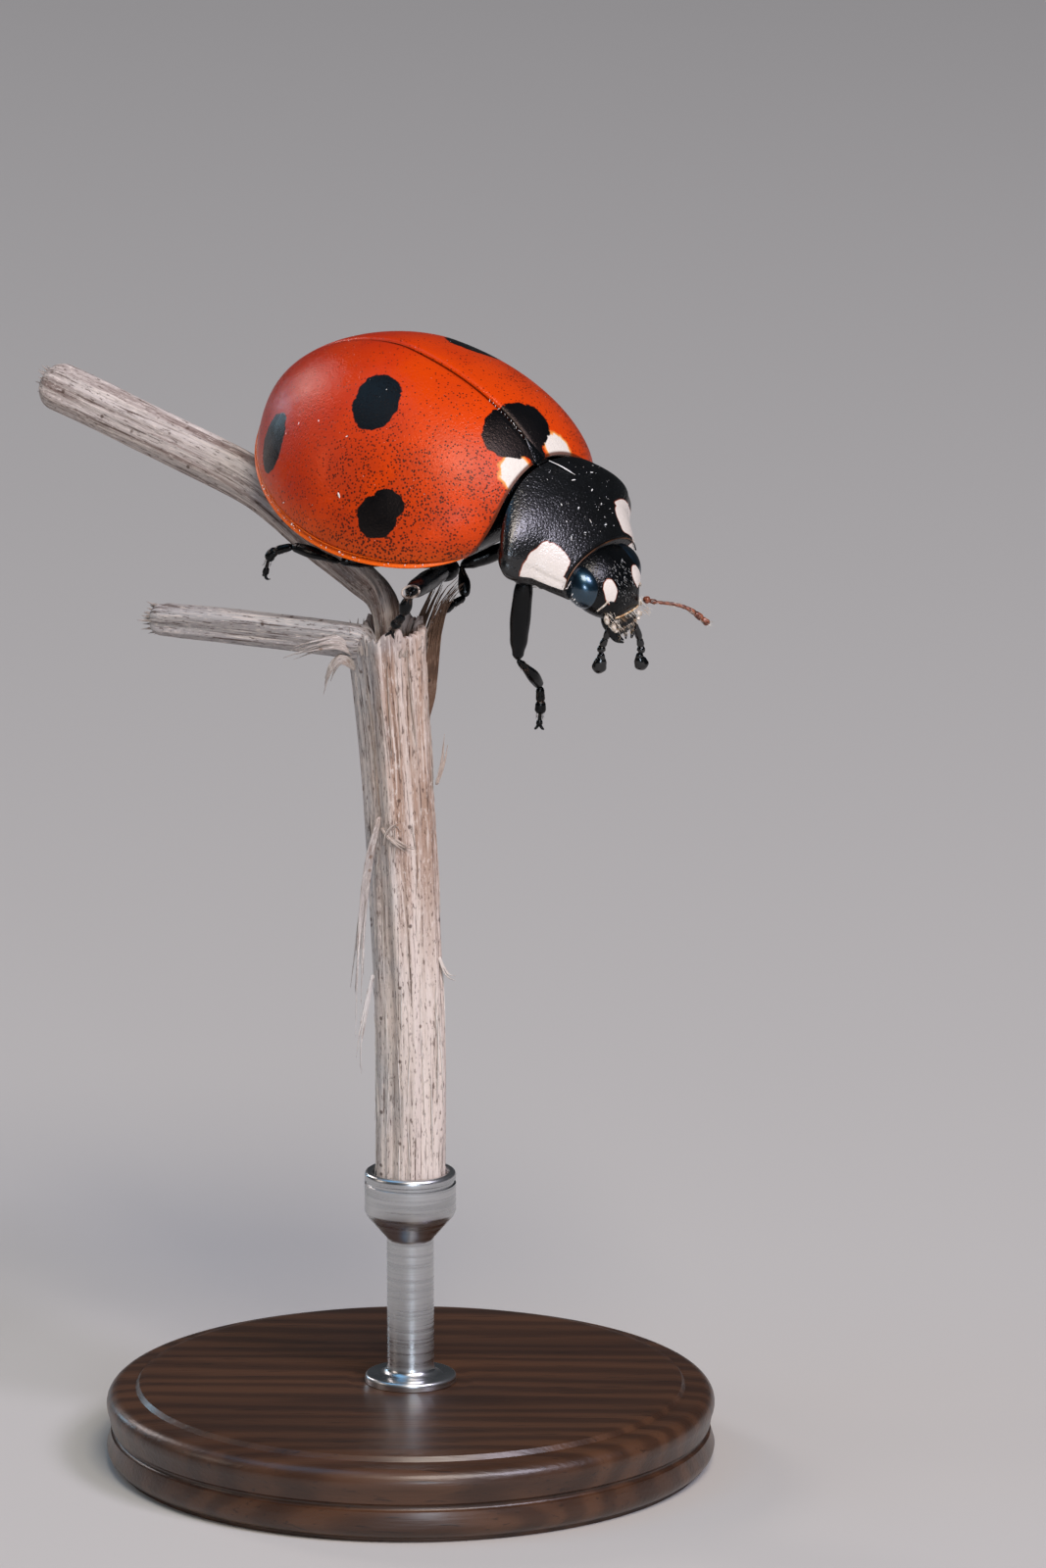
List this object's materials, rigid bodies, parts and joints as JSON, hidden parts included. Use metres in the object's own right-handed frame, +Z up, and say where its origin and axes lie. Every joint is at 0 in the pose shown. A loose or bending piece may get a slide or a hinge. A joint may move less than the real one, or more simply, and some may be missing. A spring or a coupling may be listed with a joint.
{
  "type": "seven-spot ladybird on a display stand",
  "caption": "Life-size still model of a seven-spot ladybird walking off the broken top of a dry stalk, held by a rod on a round base.",
  "frame": {"origin": "centre of the round base's underside, on the surface it stands on", "axes": "+Z up; +Y away from the viewer who faces the ladybird's right side; the head points to +X and a little to -Y"},
  "size_m": [0.0119, 0.0114, 0.0193],
  "materials": {
    "wing_case": "glossy orange-red cuticle with black spots",
    "shell_black": "satin black cuticle, finely pitted",
    "eye": "glossy black compound eye",
    "leg": "satin black cuticle",
    "feeler": "reddish brown cuticle",
    "stalk": "dry, fibrous plant stalk",
    "stand_rod": "turned steel rod and cup",
    "stand_base": "dark turned hardwood, waxed"
  },
  "bodies": {
    "root": {"abdomen": "shell_black", "antenna_left": "feeler", "antenna_right": "feeler", "elytron_left": "wing_case", "elytron_right": "wing_case", "eye_left": "eye", "eye_right": "eye", "femur_front_left": "leg", "femur_front_right": "leg", "femur_hind_left": "leg", "femur_hind_right": "leg", "femur_middle_left": "leg", "femur_middle_right": "leg", "head": "shell_black", "mouthparts": "feeler", "palp_left": "leg", "palp_right": "leg", "perch_branch": "stalk", "perch_stem": "stalk", "perch_stub": "stalk", "pronotum": "shell_black", "stand_base": "stand_base", "stand_rod": "stand_rod", "tarsus_front_left": "leg", "tarsus_front_right": "leg", "tarsus_hind_left": "leg", "tarsus_hind_right": "leg", "tarsus_middle_left": "leg", "tarsus_middle_right": "leg", "thorax_underside": "shell_black", "tibia_front_left": "leg", "tibia_front_right": "leg", "tibia_hind_left": "leg", "tibia_hind_right": "leg", "tibia_middle_left": "leg", "tibia_middle_right": "leg"}
  },
  "joints": []
}
